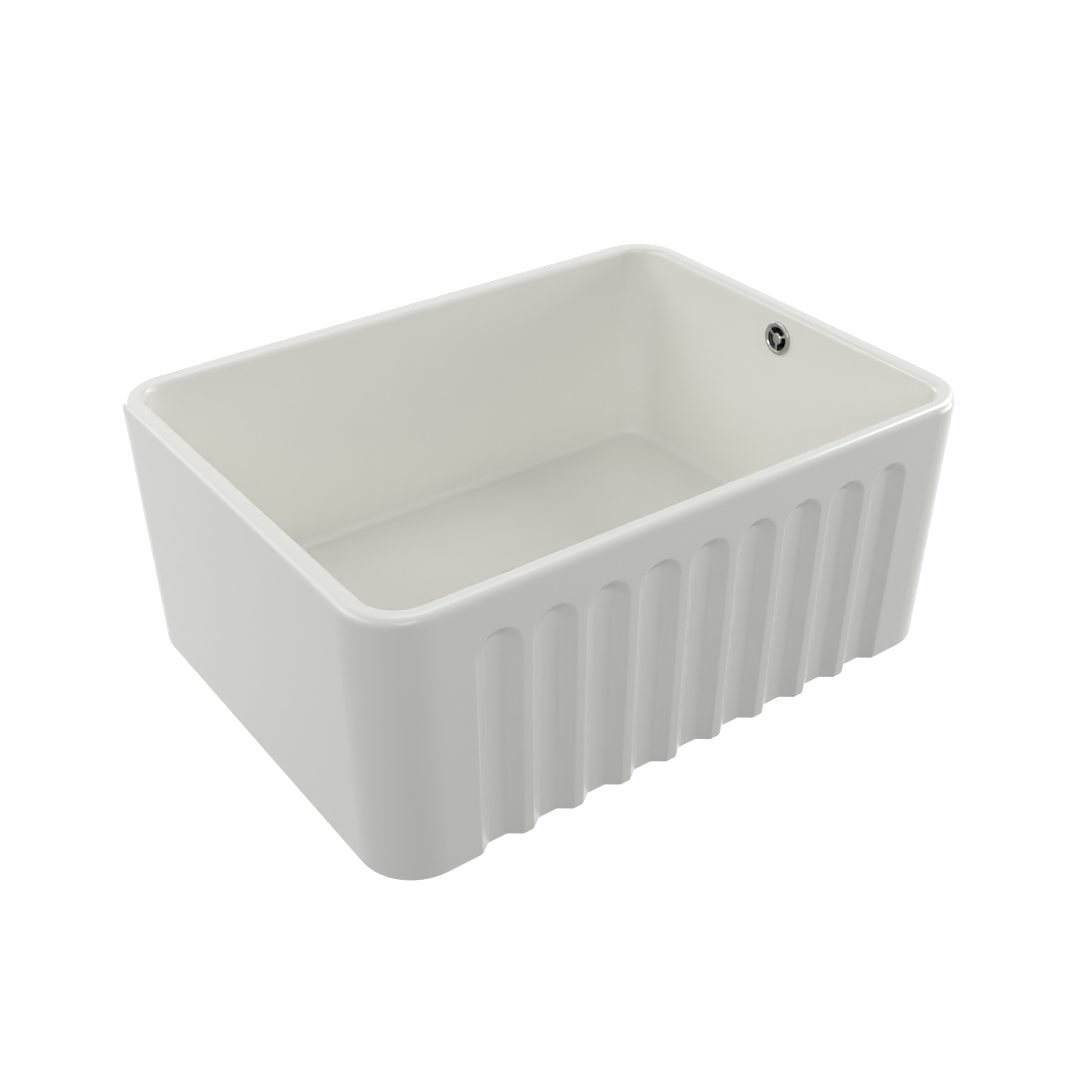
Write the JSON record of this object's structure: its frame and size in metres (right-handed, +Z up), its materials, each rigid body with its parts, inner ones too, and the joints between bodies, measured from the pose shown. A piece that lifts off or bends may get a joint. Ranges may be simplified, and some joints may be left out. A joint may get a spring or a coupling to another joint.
{
  "type": "farmhouse apron front sink",
  "caption": "Glazed fireclay apron front sink with arch-topped flutes in the front, a side wall overflow and a basket strainer waste below.",
  "frame": {"origin": "centre of the plane that the sink's foot stands on, on the axis of the waste", "axes": "+Z up, the fluted front faces -Y, +X to the right seen from the front, where the overflow is"},
  "size_m": [0.6425, 0.455, 0.405],
  "materials": {
    "glaze": "white glaze, gloss",
    "pressed_steel": "satin pressed sheet",
    "bolt_steel": "plain",
    "polished_chrome": "polished",
    "seal_rubber": "matte black",
    "stopper_rubber": "matte dark grey",
    "waste_plastic": "moulded, near black",
    "pipe_plastic": "moulded, grey",
    "nut_plastic": "moulded, dark grey",
    "insert_brass": "plain"
  },
  "bodies": {
    "sink": {"sink_basin": "glaze", "strainer_cup": "pressed_steel", "cup_seal": "seal_rubber", "clamp_bolt": "bolt_steel", "body_gasket": "seal_rubber", "waste_body": "waste_plastic", "outlet_collar": "waste_plastic", "bolt_insert": "insert_brass", "outlet_seal": "seal_rubber", "outlet_nut": "nut_plastic", "tailpiece": "pipe_plastic", "overflow_grille": "polished_chrome", "overflow_screw": "polished_chrome", "overflow_front_seal": "seal_rubber", "overflow_back_seal": "seal_rubber", "overflow_elbow": "waste_plastic", "screw_insert": "bolt_steel", "elbow_nut": "nut_plastic", "elbow_ring": "seal_rubber", "overflow_pipe": "pipe_plastic", "waste_nut": "nut_plastic", "waste_ring": "seal_rubber"},
    "basket": {"strainer_basket": "pressed_steel"},
    "plug": {"plug_post": "bolt_steel", "plug_ring": "bolt_steel", "plug_knob": "polished_chrome", "plug_stopper": "stopper_rubber"}
  },
  "joints": [
    {"name": "basket_lift", "type": "slide", "parent": "sink", "child": "basket", "axis": [0, 0, 1], "range_m": [0, 0.29]},
    {"name": "plug_lift", "type": "slide", "parent": "basket", "child": "plug", "axis": [0, 0, 1], "range_m": [0, 0.008]}
  ]
}
